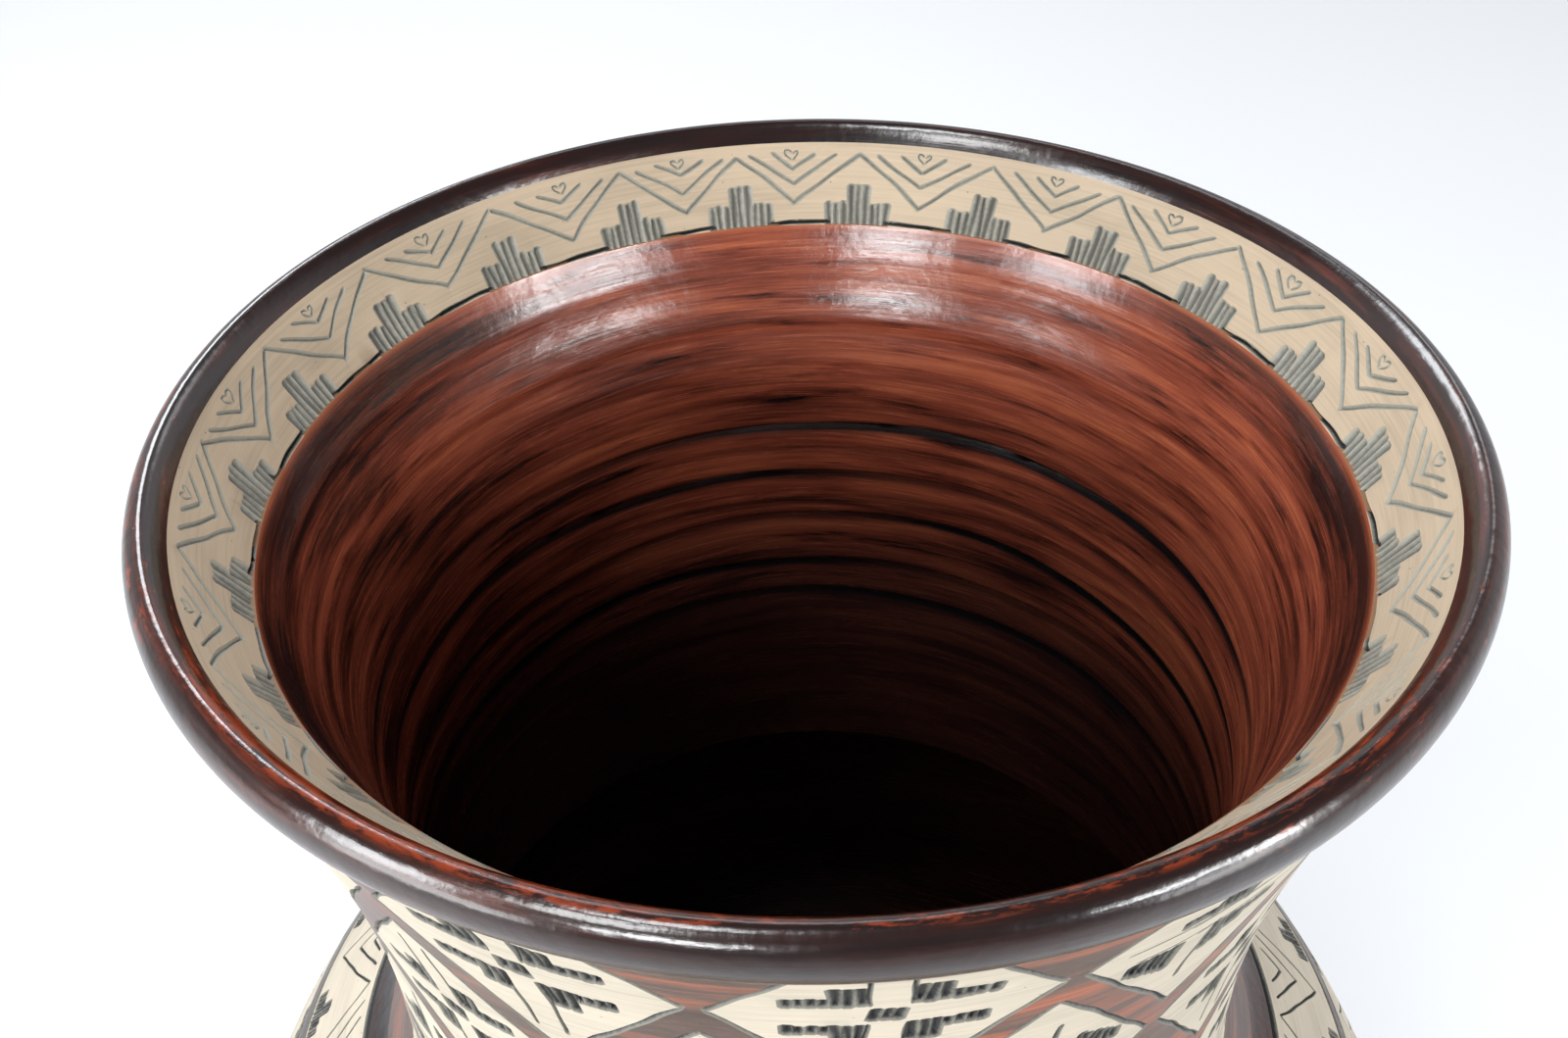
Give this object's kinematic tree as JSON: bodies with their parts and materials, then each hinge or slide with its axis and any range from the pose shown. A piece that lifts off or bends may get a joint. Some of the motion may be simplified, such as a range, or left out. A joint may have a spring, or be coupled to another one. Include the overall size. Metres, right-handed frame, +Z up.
{
  "type": "vase",
  "caption": "Large thrown clay vase with a rolled lip, flared waisted neck and round belly on a foot ring; holds dry stems or stands as decoration.",
  "frame": {"origin": "middle of the foot, on the surface the vase stands on", "axes": "+Z up along the turning axis; the vase is round, so X and Y are free"},
  "size_m": [0.432, 0.432, 0.63],
  "materials": {
    "raw_clay": "bare fired clay, matt",
    "cream_slip": "matt cream slip with carved black pattern and polished brown stripes",
    "mahogany_slip": "streaked red-brown slip, burnished and waxed",
    "tan_slip": "matt tan slip with incised lines",
    "dark_lip_slip": "near-black brown slip, burnished and worn"
  },
  "bodies": {
    "root": {"foot_ring": "raw_clay", "floor_disc": "raw_clay", "lower_belly": "cream_slip", "upper_belly": "cream_slip", "neck": "mahogany_slip", "mouth_collar": "tan_slip", "rolled_lip": "dark_lip_slip"}
  },
  "joints": []
}
